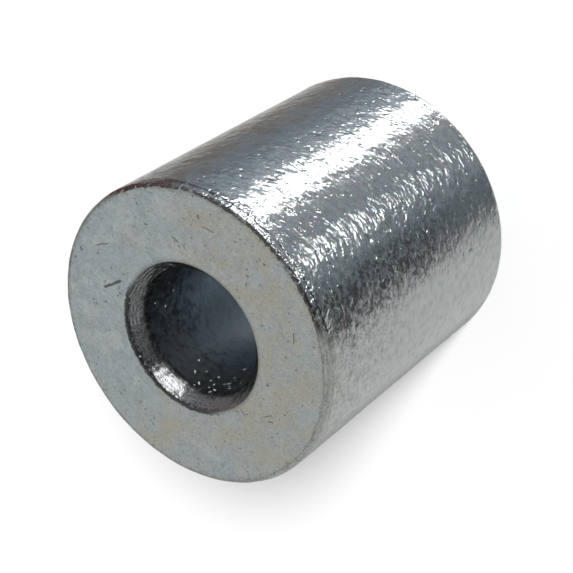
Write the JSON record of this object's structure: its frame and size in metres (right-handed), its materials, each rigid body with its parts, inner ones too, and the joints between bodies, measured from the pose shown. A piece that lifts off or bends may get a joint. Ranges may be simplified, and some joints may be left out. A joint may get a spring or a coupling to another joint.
{
  "type": "cable stop sleeve",
  "caption": "Short round metal sleeve with a countersunk through bore, squeezed onto a wire rope as an end stop.",
  "frame": {"origin": "centre of the lower end face", "axes": "+Z along the bore, from the lower end face to the upper; the sleeve is round, so X and Y are free"},
  "size_m": [0.017, 0.017, 0.0183],
  "materials": {
    "zinc_plate": "bright zinc plating over turned steel, finely dented by tumbling, with dull end faces"
  },
  "bodies": {
    "root": {"stop_sleeve": "zinc_plate"}
  },
  "joints": []
}
